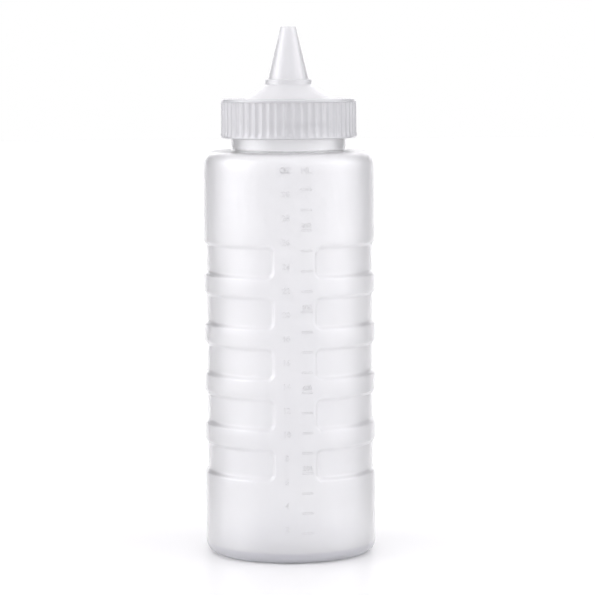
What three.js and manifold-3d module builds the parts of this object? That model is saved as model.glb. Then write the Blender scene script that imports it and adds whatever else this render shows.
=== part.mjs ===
// A squeeze dispenser for sauces: a blow-moulded translucent bottle with recessed grip bands, a loose seal ring,
// and a ribbed screw cap that narrows to a cone nozzle. Millimetres, +Z up. The origin is the middle of the
// standing ring, on the surface that the bottle stands on. The plain front strip with the scale faces -Y.

import * as THREE from 'three';
import { mergeVertices } from 'three/addons/utils/BufferGeometryUtils.js';
import Module from 'manifold-3d';

const wasm = await Module();
wasm.setup();

// Bottle body
const BODY_R = 42.3;
const WALL = 1.1;
const BASE_THICKNESS = 1.4;
const BASE_CORNER_R = 8.5;
const STANDING_RING_INNER_R = 31.3;
const PUSH_UP = 4.5; // how far the middle of the base stands off the surface

// Grip bands, recessed all round except at the front strip
const BAND_COUNT = 5;
const FIRST_BAND_Z = 48.6;
const BAND_PITCH = 24.55;
const BAND_HEIGHT = 15.5;
const BAND_DEPTH = 1.25;
const BAND_CHAMFER = 2.2;
const STRIP_EDGE_DEG = 12.5; // half-angle of the strip, flush with the body
const STRIP_FOOT_DEG = 16; // half-angle where its sides meet the floor of a band

// Shoulder and neck
const SHOULDER_Z = 198.9;
const SHOULDER_CORNER_R = 5.8;
const NECK_BASE_Z = 199.9;
const NECK_FILLET = 1.1;
const NECK_R = 28.4;
const BORE_R = 26.9;
const LIP_Z = 221.3;
const LIP_CHAMFER = 0.5;

// Thread, right-handed
const THREAD_PITCH = 4.233;
const THREAD_TURNS = 1.25;
const THREAD_ROOT_WIDTH = 2.1;
const THREAD_CREST_WIDTH = 0.8;
const THREAD_BURIED = 0.4; // how far each ridge is sunk into the wall that carries it
const THREAD_FADE_TURNS = 0.12;
const THREAD_END_SHARE = 0.1;
const NECK_THREAD_DEPTH = 1.7;
const NECK_THREAD_START_Z = 211.2;
const CAP_THREAD_DEPTH = 1.8;
const CAP_THREAD_DROP = 1.7; // the cap's ridge bears on the underside of the neck's ridge

// Cap skirt and deck
const SKIRT_BOTTOM_Z = 205.6;
const SKIRT_BORE_R = 30.9;
const SKIRT_R = 32.75; // between the ribs
const LIP_BAND_R = 33.3;
const LIP_BAND_HEIGHT = 1.7;
const DECK_Z = 224.8;
const DECK_THICKNESS = 1.8;
const DECK_EDGE_R = 1.3;
const FLARE_HEIGHT = 4.2;
const FLARE = 1.1;

// Grip ribs round the skirt
const RIB_COUNT = 55;
const RIB_FOOT_SHARE = 0.46; // of one rib's pitch
const RIB_CREST_SHARE = 0.18;
const RIB_BURIED = 0.4;
const RIB_FOOT_GAP = 0.7; // from the bottom edge of the skirt to the ribs

// Dome, ridge and nozzle
const CAP_WALL = 1.5;
const DOME_BASE_R = 22;
const DOME_TOP_R = 11.7;
const DOME_BASE_RISE = 0.5;
const DOME_TOP_Z = 231.7;
const RIDGE_R = 11.6;
const RIDGE_TOP_Z = 234.4;
const NOZZLE_BASE_R = 10.15;
const TIP_R = 3.75;
const TIP_Z = 260;
const NOZZLE_BORE_BASE_R = 8.8;
const NOZZLE_BORE_TIP_R = 2.1;

// Seal ring
const SEAL_INNER_R = 26;
const SEAL_R = 30.2;
const SEAL_THICKNESS = 1.1;
const FIT_GAP = 0.3;

const ROUND_SEGMENTS = 40;
const BODY_SEGMENTS = 38; // from one side of the strip round the back to the other
const STRIP_SEGMENTS = 4;
const DEG = Math.PI / 180;

/** Points on an arc in the profile plane, as [radius, height] pairs, both ends included. */
function arc(centreR, centreZ, radius, fromDeg, toDeg, steps) {
  return Array.from({ length: steps + 1 }, (_, i) => {
    const angle = (fromDeg + ((toDeg - fromDeg) * i) / steps) * DEG;
    return [centreR + radius * Math.cos(angle), centreZ + radius * Math.sin(angle)];
  });
}

/** Lathe geometry with its axis on +Z. The outside of a profile runs upward and the inside downward. */
function turned(profile, segments = ROUND_SEGMENTS) {
  const points = profile.map(([radius, height]) => new THREE.Vector2(radius, height));
  const geometry = new THREE.LatheGeometry(points, segments);
  geometry.rotateX(Math.PI / 2);
  return geometry;
}

/** A closed manifold solid from a three.js geometry. */
function toSolid(geometry) {
  const bare = geometry.clone();
  bare.deleteAttribute('normal');
  bare.deleteAttribute('uv');
  const merged = mergeVertices(bare);
  const corners = merged.index.array;
  const kept = [];
  for (let i = 0; i < corners.length; i += 3) {
    const [a, b, c] = corners.slice(i, i + 3);
    if (a !== b && b !== c && c !== a) {
      kept.push(a, b, c);
    }
  }
  const vertProperties = merged.attributes.position.array;
  return new wasm.Manifold(new wasm.Mesh({ numProp: 3, vertProperties, triVerts: new Uint32Array(kept) }));
}

/** A three.js geometry from a manifold solid. */
function toGeometry(solid) {
  const mesh = solid.getMesh();
  const geometry = new THREE.BufferGeometry();
  geometry.setAttribute('position', new THREE.BufferAttribute(mesh.vertProperties, 3));
  geometry.setIndex(new THREE.BufferAttribute(mesh.triVerts, 1));
  geometry.computeVertexNormals();
  return geometry;
}

/** How much of a thread's height stands at this turn: it fades into the wall at both ends. */
function threadFade(turn) {
  const fromEnd = Math.min(turn, THREAD_TURNS - turn);
  return THREAD_END_SHARE + (1 - THREAD_END_SHARE) * Math.min(1, fromEnd / THREAD_FADE_TURNS);
}

/** A helical ridge on a wall of radius wallR. It stands out by depth, inward when depth is negative. */
function threadRidge(wallR, depth, startZ) {
  const buriedR = wallR - Math.sign(depth) * THREAD_BURIED;
  const section = new THREE.Shape([
    new THREE.Vector2(-THREAD_ROOT_WIDTH / 2, buriedR),
    new THREE.Vector2(THREAD_ROOT_WIDTH / 2, buriedR),
    new THREE.Vector2(THREAD_CREST_WIDTH / 2, wallR + depth),
    new THREE.Vector2(-THREAD_CREST_WIDTH / 2, wallR + depth),
  ]);
  const steps = Math.round(THREAD_TURNS * ROUND_SEGMENTS);
  const ridge = new THREE.ExtrudeGeometry(section, { depth: THREAD_TURNS, steps, bevelEnabled: false });
  const position = ridge.attributes.position;
  for (let i = 0; i < position.count; i += 1) {
    const turn = position.getZ(i);
    const angle = turn * 2 * Math.PI;
    const radius = buriedR + (position.getY(i) - buriedR) * threadFade(turn);
    const height = startZ + turn * THREAD_PITCH + position.getX(i);
    position.setXYZ(i, radius * Math.cos(angle), radius * Math.sin(angle), height);
  }
  return ridge;
}

/** The floor of the base, inside or outside: a shallow dome over the standing ring. */
function baseFloor(lift) {
  return [0, 0.5, 0.8].map((share) => [
    share * STANDING_RING_INNER_R,
    lift + PUSH_UP * (1 - share * share),
  ]);
}

/** The recessed bands up one side of the wall, each with a chamfer above and below. */
function bands(wallR, depth) {
  const half = BAND_HEIGHT / 2;
  return Array.from({ length: BAND_COUNT }, (_, k) => FIRST_BAND_Z + k * BAND_PITCH).flatMap((z) => [
    [wallR, z - half],
    [wallR - depth, z - half + BAND_CHAMFER],
    [wallR - depth, z + half - BAND_CHAMFER],
    [wallR, z + half],
  ]);
}

/** The whole wall of the bottle in section, from the axis up the outside and down the inside. */
function bottleProfile(bandDepth) {
  const cornerR = BODY_R - BASE_CORNER_R;
  const shoulderR = BODY_R - SHOULDER_CORNER_R;
  const shoulderZ = SHOULDER_Z - SHOULDER_CORNER_R;
  const outside = [
    ...baseFloor(0),
    [STANDING_RING_INNER_R, 0],
    ...arc(cornerR, BASE_CORNER_R, BASE_CORNER_R, -90, 0, 3),
    ...bands(BODY_R, bandDepth),
    ...arc(shoulderR, shoulderZ, SHOULDER_CORNER_R, 0, 90, 3),
    [NECK_R + NECK_FILLET, NECK_BASE_Z],
    [NECK_R, NECK_BASE_Z + NECK_FILLET],
    [NECK_R, LIP_Z - LIP_CHAMFER],
    [NECK_R - LIP_CHAMFER, LIP_Z],
  ];
  const inside = [
    ...baseFloor(BASE_THICKNESS),
    ...arc(cornerR, BASE_CORNER_R, BASE_CORNER_R - WALL, -90, 0, 3),
    ...bands(BODY_R - WALL, bandDepth),
    ...arc(shoulderR, shoulderZ, SHOULDER_CORNER_R - WALL, 0, 90, 2),
    [NECK_R + NECK_FILLET, NECK_BASE_Z - WALL],
    [BORE_R, NECK_BASE_Z + WALL],
    [BORE_R, LIP_Z],
  ];
  return [...outside, ...inside.reverse()];
}

/** The angles of the bottle's columns from -Y round, with two close pairs at the sides of the front strip. */
function bottleColumns() {
  const strip = Array.from({ length: STRIP_SEGMENTS + 1 }, (_, i) => STRIP_EDGE_DEG * ((2 * i) / STRIP_SEGMENTS - 1));
  const roundDeg = 360 - 2 * STRIP_FOOT_DEG;
  const round = Array.from({ length: BODY_SEGMENTS + 1 }, (_, i) => STRIP_FOOT_DEG + (roundDeg * i) / BODY_SEGMENTS);
  return [...strip, ...round, 360 - STRIP_EDGE_DEG];
}

/** The bottle's shell: the banded profile all round, and the plain one across the front strip. */
function bottleShell() {
  const banded = bottleProfile(BAND_DEPTH);
  const plain = bottleProfile(0);
  const columns = bottleColumns();
  const shell = turned(banded, columns.length - 1);
  const position = shell.attributes.position;
  columns.forEach((angle, column) => {
    const onStrip = angle <= STRIP_EDGE_DEG || angle >= 360 - STRIP_EDGE_DEG;
    (onStrip ? plain : banded).forEach(([radius, height], row) => {
      const x = radius * Math.sin(angle * DEG);
      const y = -radius * Math.cos(angle * DEG);
      position.setXYZ(column * banded.length + row, x, y, height);
    });
  });
  return shell;
}

function bottleGeometry() {
  const thread = threadRidge(NECK_R, NECK_THREAD_DEPTH, NECK_THREAD_START_Z);
  return toGeometry(toSolid(bottleShell()).add(toSolid(thread)));
}

/** The cap's wall in section: up the outside from the skirt's foot to the tip, and down through the bore. */
function capProfile() {
  const lipBandFootZ = DECK_Z - LIP_BAND_HEIGHT;
  const outside = [
    [SKIRT_R + FLARE, SKIRT_BOTTOM_Z],
    [SKIRT_R, SKIRT_BOTTOM_Z + FLARE_HEIGHT],
    [SKIRT_R, lipBandFootZ],
    [LIP_BAND_R, lipBandFootZ + 0.2],
    ...arc(LIP_BAND_R - DECK_EDGE_R, DECK_Z - DECK_EDGE_R, DECK_EDGE_R, 0, 90, 2),
    [DOME_BASE_R + 1, DECK_Z],
    [DOME_BASE_R, DECK_Z + DOME_BASE_RISE],
    [DOME_TOP_R, DOME_TOP_Z],
    [RIDGE_R, DOME_TOP_Z + 0.4],
    [RIDGE_R, RIDGE_TOP_Z - 0.4],
    [RIDGE_R - 0.4, RIDGE_TOP_Z],
    [NOZZLE_BASE_R, RIDGE_TOP_Z],
    [TIP_R, TIP_Z],
  ];
  const inside = [
    [SKIRT_BORE_R, SKIRT_BOTTOM_Z],
    [SKIRT_BORE_R, DECK_Z - DECK_THICKNESS],
    [DOME_BASE_R - CAP_WALL, DECK_Z - DECK_THICKNESS],
    [DOME_TOP_R - CAP_WALL, DOME_TOP_Z - CAP_WALL],
    [NOZZLE_BORE_BASE_R, RIDGE_TOP_Z - CAP_WALL],
    [NOZZLE_BORE_TIP_R, TIP_Z],
  ];
  return [...outside, ...inside.reverse(), outside[0]];
}

/** The outline of the ribbed skirt from above, with the valleys sunk into the skirt. */
function ribOutline() {
  const pitch = (2 * Math.PI) / RIB_COUNT;
  const outline = new THREE.Shape();
  for (let k = 0; k < RIB_COUNT; k += 1) {
    const corners = [
      [-RIB_FOOT_SHARE, SKIRT_R - RIB_BURIED],
      [-RIB_CREST_SHARE, LIP_BAND_R],
      [RIB_CREST_SHARE, LIP_BAND_R],
      [RIB_FOOT_SHARE, SKIRT_R - RIB_BURIED],
    ];
    corners.forEach(([share, radius], corner) => {
      const angle = (k + share / 2) * pitch;
      const draw = k === 0 && corner === 0 ? 'moveTo' : 'lineTo';
      outline[draw](radius * Math.cos(angle), radius * Math.sin(angle));
    });
  }
  return outline;
}

/** The ribs as one toothed ring that flares with the foot of the skirt. */
function ribRing() {
  const outline = ribOutline();
  const hole = new THREE.Path();
  hole.absarc(0, 0, SKIRT_R - 2 * RIB_BURIED, 0, 2 * Math.PI, true);
  outline.holes.push(hole);
  const ring = new THREE.ExtrudeGeometry(outline, {
    depth: 2,
    steps: 2,
    bevelEnabled: false,
    curveSegments: ROUND_SEGMENTS,
  });
  const heights = [SKIRT_BOTTOM_Z + RIB_FOOT_GAP, SKIRT_BOTTOM_Z + FLARE_HEIGHT, DECK_Z - LIP_BAND_HEIGHT + 0.1];
  const position = ring.attributes.position;
  for (let i = 0; i < position.count; i += 1) {
    const level = Math.round(position.getZ(i));
    const flare = level === 0 ? FLARE * (1 - RIB_FOOT_GAP / FLARE_HEIGHT) : 0;
    const radius = Math.hypot(position.getX(i), position.getY(i));
    const scale = (radius + flare) / radius;
    position.setXYZ(i, position.getX(i) * scale, position.getY(i) * scale, heights[level]);
  }
  return ring;
}

function capGeometry() {
  const thread = threadRidge(SKIRT_BORE_R, -CAP_THREAD_DEPTH, NECK_THREAD_START_Z - CAP_THREAD_DROP);
  return toGeometry(toSolid(turned(capProfile())).add(toSolid(ribRing())).add(toSolid(thread)));
}

/** A flat washer between the lip of the bottle and the underside of the cap's deck. */
function sealGeometry() {
  const bottom = LIP_Z + FIT_GAP;
  const top = bottom + SEAL_THICKNESS;
  return turned([
    [SEAL_INNER_R, bottom],
    [SEAL_R, bottom],
    [SEAL_R, top],
    [SEAL_INNER_R, top],
    [SEAL_INNER_R, bottom],
  ]);
}

function part(name, geometry, color, roughness) {
  const mesh = new THREE.Mesh(geometry, new THREE.MeshStandardMaterial({ color, roughness, metalness: 0 }));
  mesh.name = name;
  return mesh;
}

const dispenser = new THREE.Group();
dispenser.add(part('bottle', bottleGeometry(), 0xe9e8ec, 0.35));
dispenser.add(part('seal_ring', sealGeometry(), 0xf4f4f2, 0.6));
dispenser.add(part('screw_cap', capGeometry(), 0xe2e1e6, 0.4));

export default dispenser;
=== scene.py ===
"""Looks for the squeeze dispenser: fine meshes, plastic materials, studio light and camera. Metres."""

import math

import bmesh
import bpy
import numpy as np
from mathutils import Matrix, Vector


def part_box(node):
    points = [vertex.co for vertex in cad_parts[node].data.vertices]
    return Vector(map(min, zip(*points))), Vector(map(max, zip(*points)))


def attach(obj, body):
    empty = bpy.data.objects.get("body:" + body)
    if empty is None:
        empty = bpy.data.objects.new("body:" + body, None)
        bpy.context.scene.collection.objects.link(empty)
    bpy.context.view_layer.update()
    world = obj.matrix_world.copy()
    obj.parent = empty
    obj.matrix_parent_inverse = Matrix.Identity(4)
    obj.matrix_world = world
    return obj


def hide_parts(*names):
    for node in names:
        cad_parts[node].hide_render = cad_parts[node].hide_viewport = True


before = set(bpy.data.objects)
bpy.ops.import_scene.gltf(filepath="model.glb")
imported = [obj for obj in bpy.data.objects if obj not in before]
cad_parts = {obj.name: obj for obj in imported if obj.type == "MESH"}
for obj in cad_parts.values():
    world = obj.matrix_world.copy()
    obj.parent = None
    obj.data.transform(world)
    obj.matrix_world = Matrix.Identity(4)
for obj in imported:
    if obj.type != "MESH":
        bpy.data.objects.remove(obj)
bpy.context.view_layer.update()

MM = 0.001
BOTTLE_LOW, BOTTLE_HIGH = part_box("bottle")
CAP_LOW, CAP_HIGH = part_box("screw_cap")
SEAL_LOW, SEAL_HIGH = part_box("seal_ring")

# Bottle body
SEAM_HEIGHT = 0.06 * MM
BODY_R = min(BOTTLE_HIGH.x, BOTTLE_HIGH.y) - SEAM_HEIGHT
WALL = 1.1 * MM
BASE_THICKNESS = 1.4 * MM
BASE_CORNER_R = 8.5 * MM
STANDING_RING_INNER_R = 31.3 * MM
PUSH_UP = 4.5 * MM

# Grip bands
BAND_COUNT = 5
FIRST_BAND_Z = 48.6 * MM
BAND_PITCH = 24.55 * MM
BAND_HEIGHT = 15.5 * MM
BAND_DEPTH = 1.25 * MM
BAND_SLOPE = 2.2 * MM
BAND_END_SLOPE = 2.2 * MM
BAND_CORNER_R = 3.2 * MM
STRIP_HALF_ANGLE = math.radians(14.25)

# Shoulder and neck
SHOULDER_Z = 198.9 * MM
SHOULDER_CORNER_R = 5.8 * MM
NECK_BASE_Z = 199.9 * MM
NECK_R = 28.4 * MM
BORE_R = 26.9 * MM
LIP_Z = BOTTLE_HIGH.z

# Thread
THREAD_PITCH = 4.233 * MM
THREAD_TURNS = 1.25
THREAD_ROOT_WIDTH = 2.1 * MM
THREAD_CREST_WIDTH = 0.8 * MM
THREAD_FADE_TURNS = 0.12
NECK_THREAD_DEPTH = 1.7 * MM
NECK_THREAD_START_Z = 211.2 * MM
CAP_THREAD_DEPTH = 1.8 * MM
CAP_THREAD_DROP = 1.7 * MM

# Cap
SKIRT_BORE_R = 30.9 * MM
SKIRT_R = 32.75 * MM
LIP_BAND_R = 33.3 * MM
LIP_BAND_HEIGHT = 1.7 * MM
DECK_Z = 224.8 * MM
DECK_THICKNESS = 1.8 * MM
FLARE_HEIGHT = 2.4 * MM
FLARE = 0.8 * MM
RIB_COUNT = 55
RIB_FOOT_GAP = 0.7 * MM
CAP_WALL = 1.5 * MM
DOME_BASE_R = 22 * MM
DOME_TOP_R = 11.7 * MM
DOME_BASE_RISE = 0.5 * MM
DOME_TOP_Z = 231.7 * MM
RIDGE_R = 11.6 * MM
RIDGE_TOP_Z = 234.2 * MM
NOZZLE_BASE_R = 10.15 * MM
TIP_R = 3.75 * MM
TIP_Z = CAP_HIGH.z
NOZZLE_BORE_BASE_R = 8.8 * MM
NOZZLE_BORE_TIP_R = 2.1 * MM

# Seal ring
SEAL_INNER_R = 26 * MM


# Raised scale on the plain strip: ounces on the left, millilitres on the right
SCALE_ZERO_Z = 5.7 * MM
OUNCES_EACH = 2
OUNCES_FULL = 32
OUNCE_RISE = 5.8 * MM
OUNCES_X = -4.2 * MM
MILLILITRES_EACH = 50
MILLILITRES_FULL = 900
MILLILITRE_RISE = 0.196 * MM
TICK_X = 5.9 * MM
TICK_LENGTH = 5.4 * MM
TICK_WIDTH = 0.8 * MM
NUMERAL_SIZE = 4 * MM
HEADER_Z = 191 * MM
MARK_RELIEF = 0.28 * MM
MARK_FOOT = 0.12 * MM
MARK_BEVEL = 0.07 * MM

# Light on the object: its level at angles round the room from the front, left negative, and from the top.
# A white wall stands behind, a large soft light on each side, and it is dark in between.
SIDE_LIGHT = [
    (-180, 0.95), (-165, 1.9), (-150, 0), (-135, 0), (-120, 0.24), (-105, 2.05), (-90, 3.6), (-75, 3.7),
    (-60, 2.5), (-45, 1.15), (-30, 0.85), (-15, 1), (0, 1.06), (15, 1.06), (30, 1.25), (45, 1.65), (60, 2.65),
    (75, 3), (90, 2), (105, 0.5), (120, 0), (135, 0), (150, 1.6), (165, 1.6), (180, 0.95),
]
TOP_LIGHT = 1.2
TOP_LIGHT_FROM = 0.4
TOP_LIGHT_FULL = 0.76
BRIGHTEST = 4
FLOOR_GLOW = 0.04
LIGHT_TINT = (0.985, 0.975, 1, 1)

# ---------------------------------------------------------------- meshes

def rounded(corners, arc_step=math.radians(9)):
    """A path of (r, z) points through (r, z, radius) corners, each rounded to its radius."""
    path = []
    for i, (r, z, radius) in enumerate(corners):
        here = np.array([r, z])
        if radius == 0 or i in (0, len(corners) - 1):
            path.append(here)
            continue
        back = np.array(corners[i - 1][:2]) - here
        ahead = np.array(corners[i + 1][:2]) - here
        back_length, ahead_length = np.linalg.norm(back), np.linalg.norm(ahead)
        back, ahead = back / back_length, ahead / ahead_length
        half = math.acos(np.clip(back @ ahead, -1, 1)) / 2
        reach = min(radius / math.tan(half), 0.49 * back_length, 0.49 * ahead_length)
        radius = reach * math.tan(half)
        bisector = (back + ahead) / np.linalg.norm(back + ahead)
        centre = here + bisector * radius / math.sin(half)
        start = here + back * reach - centre
        end = here + ahead * reach - centre
        from_angle = math.atan2(start[1], start[0])
        turn = (math.atan2(end[1], end[0]) - from_angle + math.pi) % (2 * math.pi) - math.pi
        steps = max(2, math.ceil(abs(turn) / arc_step))
        for k in range(steps + 1):
            angle = from_angle + turn * k / steps
            path.append(centre + radius * np.array([math.cos(angle), math.sin(angle)]))
    return np.array(path)


def divided(path, step):
    """The same path with no stretch longer than step."""
    out = [path[0]]
    for a, b in zip(path[:-1], path[1:]):
        pieces = max(1, math.ceil(np.linalg.norm(b - a) / step))
        out += [a + (b - a) * k / pieces for k in range(1, pieces + 1)]
    return np.array(out)


def turned(name, path, angles, offset, loop=False):
    """A closed smooth mesh: the path turned about Z, with offset(r, z, angle) added to the radius.
    The path runs up the outside and down the inside. It starts and ends on the axis, or is a loop."""
    r, z = path[:, :1], path[:, 1:]
    if loop:
        r, z = r[:-1], z[:-1]
    radius = r + offset(r, z, angles[None, :])
    rows, columns = radius.shape
    grid = np.stack([radius * np.sin(angles), -radius * np.cos(angles), np.broadcast_to(z, radius.shape)], -1)
    ids = np.arange(rows * columns).reshape(rows, columns)
    following = np.roll(ids, -1, axis=1)
    last = rows if loop else rows - 1
    upper, upper_following = np.roll(ids, -1, axis=0), np.roll(following, -1, axis=0)
    quads = np.stack([ids, following, upper_following, upper], -1)[:last].reshape(-1, 4)
    faces = quads.tolist()
    points = grid.reshape(-1, 3)
    if not loop:
        faces, points = with_poles(faces, points, ids, following)
    mesh = bpy.data.meshes.new(name)
    mesh.from_pydata(points.tolist(), [], faces)
    mesh.validate()
    mesh.shade_smooth()
    obj = bpy.data.objects.new(name, mesh)
    bpy.context.collection.objects.link(obj)
    return obj


def with_poles(faces, points, ids, following):
    """The first and last rows lie on the axis: each becomes one point with a fan of triangles."""
    rows, columns = ids.shape
    inner = faces[columns:-columns]
    south, north = len(points), len(points) + 1
    fans = [[south, int(b), int(a)] for a, b in zip(ids[1], following[1])]
    fans += [[north, int(a), int(b)] for a, b in zip(ids[-2], following[-2])]
    points = np.vstack([points, points[ids[0, 0]] * (0, 0, 1), points[ids[-1, 0]] * (0, 0, 1)])
    kept = np.arange(columns, (rows - 1) * columns)
    new_id = np.full(len(points), -1)
    new_id[kept] = np.arange(len(kept))
    new_id[[south, north]] = len(kept), len(kept) + 1
    points = points[np.append(kept, [south, north])]
    return [[int(new_id[i]) for i in face] for face in inner + fans], points


def smooth(t):
    t = np.clip(t, 0, 1)
    return t * t * (3 - 2 * t)


def thread_height(angle, z, start_z):
    """How much of a thread's ridge stands at this angle and height, from 0 to 1."""
    total = np.zeros(np.broadcast_shapes(np.shape(angle), np.shape(z)))
    part_turn = ((angle - math.pi / 2) / (2 * math.pi)) % 1
    for lap in range(math.ceil(THREAD_TURNS)):
        turn = part_turn + lap
        fade = smooth(np.minimum(turn, THREAD_TURNS - turn) / THREAD_FADE_TURNS)
        across = np.abs(z - start_z - THREAD_PITCH * turn)
        flank = (THREAD_ROOT_WIDTH / 2 - across) / (THREAD_ROOT_WIDTH / 2 - THREAD_CREST_WIDTH / 2)
        total = np.maximum(total, smooth(flank) * fade)
    return total


def column_angles(stretches):
    """Angles from (start, end, step) stretches in degrees, which follow on round the circle."""
    angles = []
    for start, end, step in stretches:
        count = max(1, round((end - start) / step))
        angles += [start + (end - start) * k / count for k in range(count)]
    return np.radians(angles)


def floor_of_base(lift, shares):
    """Corners up the shallow dome of the base."""
    return [(share * STANDING_RING_INNER_R, lift + PUSH_UP * (1 - share * share), 0) for share in shares]


def band_recess(angle, z):
    """Depth of the grip bands here. Each is a sunken stripe with round-cornered ends at the plain strip."""
    around = (np.abs((angle + math.pi) % (2 * math.pi) - math.pi) - STRIP_HALF_ANGLE) * BODY_R
    around = around * BAND_SLOPE / BAND_END_SLOPE
    deepest = 0.0
    for k in range(BAND_COUNT):
        from_middle = np.abs(z - FIRST_BAND_Z - k * BAND_PITCH)
        inward = (BAND_HEIGHT - BAND_SLOPE) / 2 + 0.6 * MM - from_middle
        corner = np.hypot(np.maximum(BAND_CORNER_R - around, 0), np.maximum(BAND_CORNER_R - inward, 0))
        deepest = np.maximum(deepest, smooth(0.5 + (BAND_CORNER_R - corner) / BAND_SLOPE))
    return deepest * BAND_DEPTH


def wall_heights(slope_step, flat_step):
    """Heights up the banded wall, closer together where a band's edge slopes."""
    heights = []
    for k in range(BAND_COUNT):
        z = FIRST_BAND_Z + k * BAND_PITCH
        reach = BAND_HEIGHT / 2
        for start, end, step in (
            (z - reach - 1 * MM, z - reach + 3 * MM, slope_step),
            (z - reach + 3 * MM, z + reach - 3 * MM, flat_step),
            (z + reach - 3 * MM, z + reach + 1 * MM, slope_step),
            (z + reach + 1 * MM, z - reach - 1 * MM + BAND_PITCH, flat_step),
        ):
            count = max(1, round((end - start) / step))
            heights += [start + (end - start) * n / count for n in range(count)]
    return heights


def bottle_path():
    shares = [k / 12 for k in range(12)]
    outside = [
        *floor_of_base(0, shares),
        (STANDING_RING_INNER_R, 0, 1.5 * MM),
        (BODY_R, 0, BASE_CORNER_R),
        *[(BODY_R, z, 0) for z in wall_heights(0.45 * MM, 2.4 * MM)],
        (BODY_R, SHOULDER_Z, SHOULDER_CORNER_R),
        (NECK_R, NECK_BASE_Z, 1.1 * MM),
        (NECK_R, LIP_Z, 0.5 * MM),
    ]
    inside = [
        (BORE_R, LIP_Z, 0.4 * MM),
        (BORE_R, NECK_BASE_Z - WALL, 2 * MM),
        (BODY_R - WALL, SHOULDER_Z - WALL, SHOULDER_CORNER_R - WALL),
        *[(BODY_R - WALL, z, 0) for z in wall_heights(0.8 * MM, 3 * MM)[::-1]],
        (BODY_R - WALL, BASE_THICKNESS, BASE_CORNER_R - WALL),
        (STANDING_RING_INNER_R, BASE_THICKNESS, 1.5 * MM),
        *floor_of_base(BASE_THICKNESS, shares)[::-1],
    ]
    return divided(rounded(outside + inside), 4 * MM)


def wall_waves(r, z, angle):
    """The slight unevenness of a blown wall."""
    return (
        np.sin(2 * angle + 0.7) * np.sin(z / (31 * MM) + 0.4)
        + 0.7 * np.sin(5 * angle + z / (19 * MM))
        + 0.5 * np.sin(9 * angle - z / (11 * MM) + 1.9)
    )


def bottle_offset(inside_from):
    """The radius changes of the bottle's rows: bands that stop at the strip, waves, mould seams, thread."""
    def offset(r, z, angle):
        row = np.arange(len(r))[:, None]
        inside = row >= inside_from
        from_front = np.abs((angle + math.pi) % (2 * math.pi) - math.pi)
        change = -band_recess(angle, z) * (r > BODY_R - WALL - 0.1 * MM)
        body = smooth((z - 12 * MM) / (20 * MM)) * smooth((SHOULDER_Z - 8 * MM - z) / (20 * MM))
        change = change + body * wall_waves(r, z, angle) * np.where(inside, 0.08 * MM, -0.012 * MM)
        seam = np.exp(-(((from_front - math.pi / 2) * r / (0.22 * MM)) ** 2))
        seamed = ~inside & (z < LIP_Z - 2 * MM) & (r > NECK_R - 1 * MM)
        change = change + SEAM_HEIGHT * seam * seamed
        neck = ~inside & (z > NECK_BASE_Z + 2 * MM) & (z < LIP_Z - 1 * MM)
        return change + neck * NECK_THREAD_DEPTH * thread_height(angle, z, NECK_THREAD_START_Z)
    return offset


def make_bottle():
    path = bottle_path()
    lip_row = int(np.argmax(path[:, 1]))
    neck = (path[:-1, 1] > NECK_THREAD_START_Z - 3 * MM) & (path[1:, 1] > NECK_THREAD_START_Z - 3 * MM)
    first, last = np.flatnonzero(neck)[[0, -1]]
    fine = divided(path[first:lip_row + 1], 0.3 * MM)
    path = np.vstack([path[:first], fine, path[lip_row + 1:]])
    lip_row = first + len(fine) - 1
    angles = column_angles([
        (-11, 11, 2), (11, 20, 0.5), (20, 88.5, 2), (88.5, 91.5, 0.25), (91.5, 268.5, 2.4),
        (268.5, 271.5, 0.25), (271.5, 340, 2), (340, 349, 0.5),
    ])
    return turned("bottle_shell", path, angles, bottle_offset(lip_row + 1))


def cap_path():
    bottom = CAP_LOW.z
    band_foot = DECK_Z - LIP_BAND_HEIGHT
    return [
        (SKIRT_BORE_R, bottom + 2 * MM, 0),
        (SKIRT_BORE_R, bottom, 0.3 * MM),
        (SKIRT_R + FLARE, bottom, 0.5 * MM),
        (SKIRT_R, bottom + FLARE_HEIGHT, 6 * MM),
        (SKIRT_R, band_foot, 0.15 * MM),
        (LIP_BAND_R, band_foot + 0.2 * MM, 0.15 * MM),
        (LIP_BAND_R, DECK_Z, 1.3 * MM),
        (DOME_BASE_R + 0.9 * MM, DECK_Z, 0.8 * MM),
        (DOME_BASE_R, DECK_Z + DOME_BASE_RISE, 0.8 * MM),
        (DOME_TOP_R, DOME_TOP_Z, 0.5 * MM),
        (RIDGE_R, DOME_TOP_Z + 0.4 * MM, 0.2 * MM),
        (RIDGE_R, RIDGE_TOP_Z, 0.4 * MM),
        (NOZZLE_BASE_R, RIDGE_TOP_Z, 0.4 * MM),
        (TIP_R, TIP_Z, 0.35 * MM),
        (NOZZLE_BORE_TIP_R, TIP_Z, 0.3 * MM),
        (NOZZLE_BORE_BASE_R, RIDGE_TOP_Z - CAP_WALL, 2 * MM),
        (DOME_TOP_R - CAP_WALL, DOME_TOP_Z - CAP_WALL, 2 * MM),
        (DOME_BASE_R - CAP_WALL, DECK_Z - DECK_THICKNESS, 1 * MM),
        (SKIRT_BORE_R, DECK_Z - DECK_THICKNESS, 0.6 * MM),
        (SKIRT_BORE_R, bottom + 2 * MM, 0),
    ]


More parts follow.
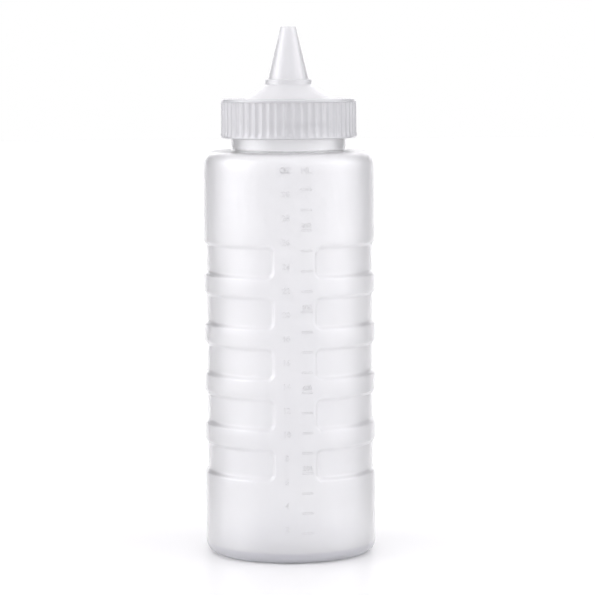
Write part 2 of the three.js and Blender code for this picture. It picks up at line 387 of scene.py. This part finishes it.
def cap_offset(r, z, angle):
    """Ribs on the outside of the skirt and the thread on its inside."""
    band_foot = DECK_Z - LIP_BAND_HEIGHT
    rib_foot = CAP_LOW.z + RIB_FOOT_GAP
    outside = (r > SKIRT_R - 0.3 * MM) & (z < band_foot)
    ends = smooth((z - rib_foot) / (0.5 * MM))
    crest = 0.5 + 0.5 * np.cos(angle * RIB_COUNT)
    rib = smooth((crest - 0.3) / 0.7) * (LIP_BAND_R - SKIRT_R)
    inside = (np.abs(r - SKIRT_BORE_R) < 0.2 * MM) & (z < DECK_Z - DECK_THICKNESS - 1 * MM)
    thread = CAP_THREAD_DEPTH * thread_height(angle, z, NECK_THREAD_START_Z - CAP_THREAD_DROP)
    return outside * ends * rib - inside * thread


def make_cap():
    path = divided(rounded(cap_path()), 2.4 * MM)
    inner_wall = np.flatnonzero(path[:, 1] <= DECK_Z - DECK_THICKNESS - 0.5 * MM)
    first = inner_wall[inner_wall > len(path) // 2][0]
    path = np.vstack([path[:first], divided(path[first:], 0.45 * MM)])
    angles = column_angles([(0, 360, 360 / (RIB_COUNT * 8))])
    return turned("cap_moulding", path, angles, cap_offset, loop=True)


def make_seal():
    inner_r, outer_r = SEAL_INNER_R, SEAL_HIGH.x
    low, high = SEAL_LOW.z, SEAL_HIGH.z
    corner = 0.25 * MM
    path = rounded([
        (inner_r, low + 0.5 * MM, 0),
        (inner_r, low, corner),
        (outer_r, low, corner),
        (outer_r, high, corner),
        (inner_r, high, corner),
        (inner_r, low + 0.5 * MM, 0),
    ])
    path = divided(path, 0.8 * MM)
    angles = column_angles([(0, 360, 3)])
    return turned("seal_washer", path, angles, lambda r, z, angle: 0 * r * angle, loop=True)


def tick_curve():
    """A short bar with round ends."""
    curve = bpy.data.curves.new("tick", "CURVE")
    curve.dimensions = "2D"
    half, radius = TICK_LENGTH / 2 - TICK_WIDTH / 2, TICK_WIDTH / 2
    along = np.linspace(-half, half, 8)
    turn = np.linspace(-math.pi / 2, math.pi / 2, 7)
    right = [(half + radius * math.cos(a), radius * math.sin(a)) for a in turn]
    left = [(-x, -y) for x, y in right]
    outline = [*[(x, -radius) for x in along[1:-1]], *right, *[(x, radius) for x in along[-2:0:-1]], *left]
    spline = curve.splines.new("POLY")
    spline.points.add(len(outline) - 1)
    for point, (x, y) in zip(spline.points, outline):
        point.co = (x, y, 0, 1)
    spline.use_cyclic_u = True
    return curve


def word_curve(words, size):
    curve = bpy.data.curves.new("words", "FONT")
    curve.body = words
    curve.size = size
    curve.align_x = "CENTER"
    curve.align_y = "CENTER"
    curve.resolution_u = 4
    return curve


def wrapped(curve, x, z):
    """Points and faces of a raised mark, bent round the wall at arc length x from the front and height z."""
    curve.extrude = (MARK_RELIEF + MARK_FOOT) / 2 - MARK_BEVEL
    curve.bevel_depth = MARK_BEVEL
    curve.bevel_resolution = 1
    curve.offset = -MARK_BEVEL / 2
    flat = bpy.data.objects.new("flat", curve)
    bpy.context.collection.objects.link(flat)
    mesh = bpy.data.meshes.new_from_object(flat.evaluated_get(bpy.context.evaluated_depsgraph_get()))
    bpy.data.objects.remove(flat)
    points = []
    for vertex in mesh.vertices:
        angle = (x + vertex.co.x) / BODY_R
        radius = BODY_R + vertex.co.z + (MARK_RELIEF - MARK_FOOT) / 2
        points.append((radius * math.sin(angle), -radius * math.cos(angle), z + vertex.co.y))
    return points, [list(face.vertices) for face in mesh.polygons]


def make_scale():
    marks = [
        (word_curve("OZ", NUMERAL_SIZE), OUNCES_X, HEADER_Z),
        (word_curve("ML", NUMERAL_SIZE), TICK_X, HEADER_Z),
    ]
    for ounces in range(OUNCES_EACH, OUNCES_FULL + 1, OUNCES_EACH):
        marks.append((word_curve(str(ounces), NUMERAL_SIZE), OUNCES_X, SCALE_ZERO_Z + ounces * OUNCE_RISE))
    for amount in range(MILLILITRES_EACH, MILLILITRES_FULL + 1, MILLILITRES_EACH):
        height = SCALE_ZERO_Z + amount * MILLILITRE_RISE
        marks.append((tick_curve(), TICK_X, height))
        if amount % (4 * MILLILITRES_EACH) == 0:
            marks.append((word_curve(str(amount), 0.8 * NUMERAL_SIZE), TICK_X, height + 2.2 * MM))
    points, faces = [], []
    for curve, x, z in marks:
        mark_points, mark_faces = wrapped(curve, x, z)
        faces += [[len(points) + i for i in face] for face in mark_faces]
        points += mark_points
    mesh = bpy.data.meshes.new("scale_marks")
    mesh.from_pydata(points, [], faces)
    tidy = bmesh.new()
    tidy.from_mesh(mesh)
    bmesh.ops.remove_doubles(tidy, verts=tidy.verts, dist=0.002 * MM)
    bmesh.ops.recalc_face_normals(tidy, faces=tidy.faces)
    tidy.to_mesh(mesh)
    tidy.free()
    obj = bpy.data.objects.new("scale_marks", mesh)
    bpy.context.collection.objects.link(obj)
    return obj


# ---------------------------------------------------------------- materials

COAT_ROUGHNESS = 0.24
# Strength of the painted glow, emission that stands in for light scattered inside the plastic
PAINTED_GLOW_STRENGTH = 0.035

# Colours by height on the object: painted shade in the base colour and painted glow in the emission
WHITE = (1, 1, 1)
BLACK = (0, 0, 0)
GREY = (0.5, 0.5, 0.5)
# Painted shade: a darker, bluish base colour on the lowest 5 mm, where the bottle curves under towards the
# floor
HEEL_PAINTED_SHADE = [
    (0, (0.9, 0.9, 0.94)), (5 * MM, (0.9, 0.9, 0.94)), (5.5 * MM, WHITE), (TIP_Z, WHITE),
]
# Painted glow: emission that lightens the wall just above the heel and at the shoulder, and half as much on
# the neck
WALL_PAINTED_GLOW = [
    (0, GREY), (4.6 * MM, GREY), (6 * MM, WHITE), (13 * MM, WHITE), (30 * MM, BLACK),
    (190 * MM, BLACK), (196 * MM, WHITE), (199.5 * MM, WHITE), (201.5 * MM, GREY), (LIP_Z, GREY),
]
# Painted shade: the cap's skirt darker than its dome, which faces the top light
SKIRT_PAINTED_SHADE = [
    (0, (0.85, 0.85, 0.86)), (DECK_Z - 1 * MM, (0.87, 0.87, 0.88)), (DECK_Z + 1 * MM, WHITE), (TIP_Z, WHITE),
]
EVEN = [(0, WHITE), (TIP_Z, WHITE)]


def new_material(name):
    material = bpy.data.materials.new(name)
    material.use_nodes = True
    tree = material.node_tree
    return material, tree, tree.nodes["Principled BSDF"]


def node(tree, kind, **inputs):
    made = tree.nodes.new(kind)
    for key, value in inputs.items():
        made.inputs[key.replace("_", " ")].default_value = value
    return made


def noise(tree, scale, detail=2.0, roughness=0.5):
    coords = tree.nodes.new("ShaderNodeTexCoord")
    made = node(tree, "ShaderNodeTexNoise", Scale=scale, Detail=detail, Roughness=roughness)
    tree.links.new(coords.outputs["Object"], made.inputs["Vector"])
    return made.outputs["Fac"]


def mapped(tree, value, low, high, from_low=0.3, from_high=0.7):
    made = node(tree, "ShaderNodeMapRange")
    made.inputs["From Min"].default_value = from_low
    made.inputs["From Max"].default_value = from_high
    made.inputs["To Min"].default_value = low
    made.inputs["To Max"].default_value = high
    tree.links.new(value, made.inputs["Value"])
    return made.outputs["Result"]


def colour_between(tree, value, first, second):
    made = tree.nodes.new("ShaderNodeValToRGB")
    made.color_ramp.elements[0].position = 0.35
    made.color_ramp.elements[0].color = (*first, 1)
    made.color_ramp.elements[1].position = 0.65
    made.color_ramp.elements[1].color = (*second, 1)
    tree.links.new(value, made.inputs["Fac"])
    return made.outputs["Color"]


def bumped(tree, shader, layers):
    """Bump from several (height socket, distance) layers, the finest last."""
    normal = None
    for height, distance in layers:
        bump = node(tree, "ShaderNodeBump", Strength=1.0, Distance=distance)
        tree.links.new(height, bump.inputs["Height"])
        if normal is not None:
            tree.links.new(normal, bump.inputs["Normal"])
        normal = bump.outputs["Normal"]
    tree.links.new(normal, shader.inputs["Normal"])


def by_height(tree, stops):
    """A colour that changes with the height on the object, through (height, colour) stops."""
    coords = tree.nodes.new("ShaderNodeTexCoord")
    parts = tree.nodes.new("ShaderNodeSeparateXYZ")
    tree.links.new(coords.outputs["Object"], parts.inputs[0])
    share = mapped(tree, parts.outputs["Z"], 0, 1, 0, TIP_Z)
    ramp = tree.nodes.new("ShaderNodeValToRGB")
    for _ in stops[2:]:
        ramp.color_ramp.elements.new(0.5)
    for stop, (height, colour) in zip(ramp.color_ramp.elements, stops):
        stop.position = height / TIP_Z
        stop.color = (*colour, 1)
    tree.links.new(share, ramp.inputs["Fac"])
    return ramp.outputs["Color"]


def multiplied(tree, first, second):
    made = tree.nodes.new("ShaderNodeMix")
    made.data_type = "RGBA"
    made.blend_type = "MULTIPLY"
    made.inputs["Factor"].default_value = 1
    tree.links.new(first, made.inputs["A"])
    tree.links.new(second, made.inputs["B"])
    return made.outputs["Result"]


def moulded_plastic(name, first, second, roughness, transmission, coat, wave, grain, painted_shade, painted_glow=None):
    """Natural polyethylene: cloudy colour, uneven gloss, slow waves from the mould and a fine skin.
    Its shade stops darken the colour by height: painted shade where less light falls. Its glow stops add a
    painted glow by height, emission that stands in for light scattered inside the plastic."""
    material, tree, shader = new_material(name)
    cloud = noise(tree, 22, detail=3)
    # Cloudy colour multiplied by the painted shade by height
    colour = multiplied(tree, colour_between(tree, cloud, first, second), by_height(tree, painted_shade))
    tree.links.new(colour, shader.inputs["Base Color"])
    # Painted glow: emission by height, light the plastic does not give off itself
    if painted_glow:
        tree.links.new(by_height(tree, painted_glow), shader.inputs["Emission Color"])
        shader.inputs["Emission Strength"].default_value = PAINTED_GLOW_STRENGTH
    low, high = roughness
    tree.links.new(mapped(tree, noise(tree, 60, detail=4), low, high), shader.inputs["Roughness"])
    bumped(tree, shader, [(noise(tree, 45, detail=1), wave), (noise(tree, 900, detail=3), grain)])
    shader.inputs["Transmission Weight"].default_value = transmission
    shader.inputs["Coat Weight"].default_value = coat
    shader.inputs["Coat Roughness"].default_value = COAT_ROUGHNESS
    shader.inputs["IOR"].default_value = 1.51
    return material


# ---------------------------------------------------------------- studio

def studio_world():
    """White to the camera. To the object, light that changes round the room, and a soft top."""
    world = bpy.data.worlds.new("studio")
    bpy.context.scene.world = world
    world.use_nodes = True
    tree = world.node_tree
    tree.nodes.clear()
    coords = tree.nodes.new("ShaderNodeTexCoord")
    parts = tree.nodes.new("ShaderNodeSeparateXYZ")
    tree.links.new(coords.outputs["Generated"], parts.inputs[0])
    forward = tree.nodes.new("ShaderNodeMath")
    forward.operation = "MULTIPLY"
    forward.inputs[1].default_value = -1
    tree.links.new(parts.outputs["Y"], forward.inputs[0])
    azimuth = tree.nodes.new("ShaderNodeMath")
    azimuth.operation = "ARCTAN2"
    tree.links.new(parts.outputs["X"], azimuth.inputs[0])
    tree.links.new(forward.outputs[0], azimuth.inputs[1])
    turn = mapped(tree, azimuth.outputs[0], 0, 1, -math.pi, math.pi)
    ramp = tree.nodes.new("ShaderNodeValToRGB")
    ramp.name = "side_ramp"
    stops = ramp.color_ramp.elements
    stops[0].position, stops[1].position = 0, 1
    for degrees, level in SIDE_LIGHT[1:-1]:
        stops.new((degrees + 180) / 360)
    for stop, (degrees, level) in zip(stops, SIDE_LIGHT):
        stop.color = (*[level / BRIGHTEST] * 3, 1)
    tree.links.new(turn, ramp.inputs["Fac"])
    upward = mapped(tree, parts.outputs["Z"], 0, 1, TOP_LIGHT_FROM, TOP_LIGHT_FULL)
    upward.node.interpolation_type = "SMOOTHSTEP"
    mix = tree.nodes.new("ShaderNodeMix")
    mix.name = "top_mix"
    mix.data_type = "RGBA"
    tree.links.new(upward, mix.inputs["Factor"])
    tree.links.new(ramp.outputs["Color"], mix.inputs["A"])
    mix.inputs["B"].default_value = (*[TOP_LIGHT / BRIGHTEST] * 3, 1)
    tinted = tree.nodes.new("ShaderNodeMix")
    tinted.data_type = "RGBA"
    tinted.blend_type = "MULTIPLY"
    tinted.inputs["Factor"].default_value = 1
    tinted.inputs["B"].default_value = LIGHT_TINT
    tree.links.new(mix.outputs["Result"], tinted.inputs["A"])
    lit = node(tree, "ShaderNodeBackground", Strength=BRIGHTEST)
    tree.links.new(tinted.outputs["Result"], lit.inputs["Color"])
    seen = node(tree, "ShaderNodeBackground", Color=(1, 1, 1, 1), Strength=1.0)
    seen.name = "seen"
    light_path = tree.nodes.new("ShaderNodeLightPath")
    choose = tree.nodes.new("ShaderNodeMixShader")
    tree.links.new(light_path.outputs["Is Camera Ray"], choose.inputs[0])
    tree.links.new(lit.outputs[0], choose.inputs[1])
    tree.links.new(seen.outputs[0], choose.inputs[2])
    output = tree.nodes.new("ShaderNodeOutputWorld")
    tree.links.new(choose.outputs[0], output.inputs["Surface"])


def studio_floor():
    bpy.ops.mesh.primitive_plane_add(size=12)
    floor = bpy.context.object
    floor.name = "studio_floor"
    material, tree, shader = new_material("studio_floor_white")
    shader.inputs["Base Color"].default_value = (0.85, 0.85, 0.85, 1)
    shader.inputs["Roughness"].default_value = 0.35
    shader.inputs["Emission Color"].default_value = (1, 1, 1, 1)
    shader.inputs["Emission Strength"].default_value = FLOOR_GLOW
    floor.data.materials.append(material)
    return floor


def studio_camera():
    """Almost level with the cap, a little left of the strip, with a long lens."""
    distance, height = 1235 * MM, 246.3 * MM
    beside_strip = math.radians(3.2)
    aim_right = math.radians(0.177)
    pitch_down = math.radians(5.55)
    lean = math.radians(-0.32)
    data = bpy.data.cameras.new("camera")
    data.lens = 151.3
    camera = bpy.data.objects.new("camera", data)
    bpy.context.collection.objects.link(camera)
    heading = -beside_strip - aim_right
    turn = Matrix.Rotation(heading, 4, "Z") @ Matrix.Rotation(math.pi / 2 - pitch_down, 4, "X")
    away = (-distance * math.sin(beside_strip), -distance * math.cos(beside_strip), height)
    place = Matrix.Translation(away)
    camera.matrix_world = place @ turn @ Matrix.Rotation(lean, 4, "Z")
    bpy.context.scene.camera = camera


def dress(obj, material, body, cad_node):
    """Material and body, and the CAD part it stands for hidden. A piece that stands for no CAD node of its
    own has cad_node None.
    """
    obj.data.materials.append(material)
    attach(obj, body)
    if cad_node:
        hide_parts(cad_node)


studio_camera()
studio_world()
studio_floor()

bottle_plastic = moulded_plastic(
    "bottle_plastic", (0.965, 0.965, 0.975), (0.98, 0.98, 0.985), roughness=(0.285, 0.33), transmission=0.85,
    coat=1.0, wave=0.06 * MM, grain=0.004 * MM, painted_shade=HEEL_PAINTED_SHADE, painted_glow=WALL_PAINTED_GLOW)
cap_plastic = moulded_plastic(
    "cap_plastic", (0.89, 0.89, 0.905), (0.92, 0.92, 0.93), roughness=(0.285, 0.36), transmission=0.5,
    coat=1.0, wave=0.02 * MM, grain=0.004 * MM, painted_shade=SKIRT_PAINTED_SHADE)
seal_plastic = moulded_plastic(
    "seal_plastic", (0.9, 0.9, 0.88), (0.94, 0.94, 0.93), roughness=(0.5, 0.65), transmission=0.0,
    coat=0.0, wave=0.02 * MM, grain=0.01 * MM, painted_shade=EVEN)

dress(make_bottle(), bottle_plastic, "bottle", "bottle")
dress(make_scale(), bottle_plastic, "bottle", None)
dress(make_cap(), cap_plastic, "cap", "screw_cap")
dress(make_seal(), seal_plastic, "seal", "seal_ring")

scene = bpy.context.scene
scene.view_settings.view_transform = "Standard"
scene.cycles.max_bounces = 24
scene.cycles.transmission_bounces = 20
scene.cycles.glossy_bounces = 8
